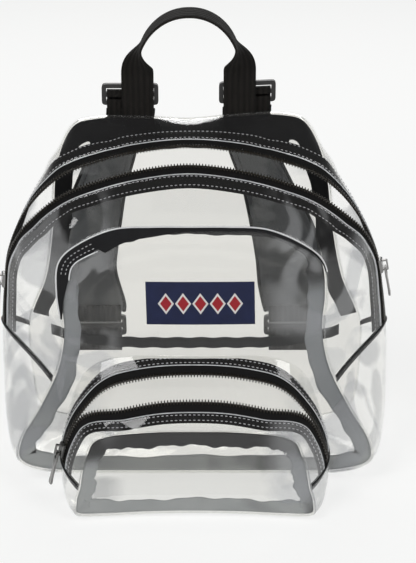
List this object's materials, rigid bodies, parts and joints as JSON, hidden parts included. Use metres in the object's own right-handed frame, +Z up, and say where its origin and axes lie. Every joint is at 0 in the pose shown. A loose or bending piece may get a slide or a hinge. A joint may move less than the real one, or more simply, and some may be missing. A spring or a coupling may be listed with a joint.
{
  "type": "clear backpack",
  "caption": "Small backpack of clear vinyl with black bound seams, a front pocket, open zips, a label, a webbing haul loop and padded shoulder straps.",
  "frame": {"origin": "middle of the bag's bounding box, on the floor that it stands on", "axes": "+Z up, -Y the front with the pocket, +X to the right as seen from the front"},
  "size_m": [0.3083, 0.2038, 0.3518],
  "materials": {
    "clear_vinyl": "clear glossy flexible vinyl",
    "binding_tape": "black woven polyester tape",
    "zip_tape": "black zip tape with nylon coil teeth",
    "webbing": "black woven webbing",
    "strap_cloth": "black woven cloth over thin padding",
    "black_plastic": "satin black moulded plastic",
    "zip_metal": "polished nickel plate",
    "woven_label": "navy woven label with a row of red lozenges edged in white"
  },
  "bodies": {
    "bag": {"front_panel": "clear_vinyl", "back_panel": "clear_vinyl", "front_gusset": "clear_vinyl", "rear_gusset": "clear_vinyl", "lower_gusset": "clear_vinyl", "pocket_panel": "clear_vinyl", "pocket_front_gusset": "clear_vinyl", "pocket_rear_gusset": "clear_vinyl", "pocket_lower_gusset": "clear_vinyl", "front_binding": "binding_tape", "back_binding": "binding_tape", "back_seam_band": "binding_tape", "side_seam_right": "binding_tape", "side_seam_left": "binding_tape", "pocket_binding": "binding_tape", "pocket_side_seam_right": "binding_tape", "pocket_side_seam_left": "binding_tape", "zip_tape_front": "zip_tape", "zip_tape_rear": "zip_tape", "pocket_zip_tape_front": "zip_tape", "pocket_zip_tape_rear": "zip_tape", "haul_loop": "webbing", "strap_anchor_right": "webbing", "strap_anchor_left": "webbing", "strap_web_right": "webbing", "strap_web_left": "webbing", "strap_foot_right": "webbing", "strap_foot_left": "webbing", "strap_tab_right": "webbing", "strap_tab_left": "webbing", "shoulder_strap_right": "strap_cloth", "shoulder_strap_left": "strap_cloth", "strap_buckle_right": "black_plastic", "strap_buckle_left": "black_plastic", "strap_adjuster_right": "black_plastic", "strap_adjuster_left": "black_plastic", "right_zip_slider": "zip_metal", "left_zip_slider": "zip_metal", "pocket_zip_slider": "zip_metal", "label": "woven_label"},
    "right_pull": {"right_zip_pull": "zip_metal"},
    "left_pull": {"left_zip_pull": "zip_metal"},
    "pocket_pull": {"pocket_zip_pull": "zip_metal"}
  },
  "joints": [
    {"name": "right_pull_hinge", "type": "hinge", "parent": "bag", "child": "right_pull", "pos_m": [0.14867, 0.00748, 0.16255], "axis": [-0.1493, -0.9884, -0.0289], "range_deg": [0, 140]},
    {"name": "left_pull_hinge", "type": "hinge", "parent": "bag", "child": "left_pull", "pos_m": [-0.15085, 0.00733, 0.15012], "axis": [-0.1796, 0.9837, 0.0118], "range_deg": [0, 140]},
    {"name": "pocket_pull_hinge", "type": "hinge", "parent": "bag", "child": "pocket_pull", "pos_m": [-0.10362, -0.07097, 0.04244], "axis": [-0.3185, 0.9479, 0.0042], "range_deg": [0, 140]}
  ]
}
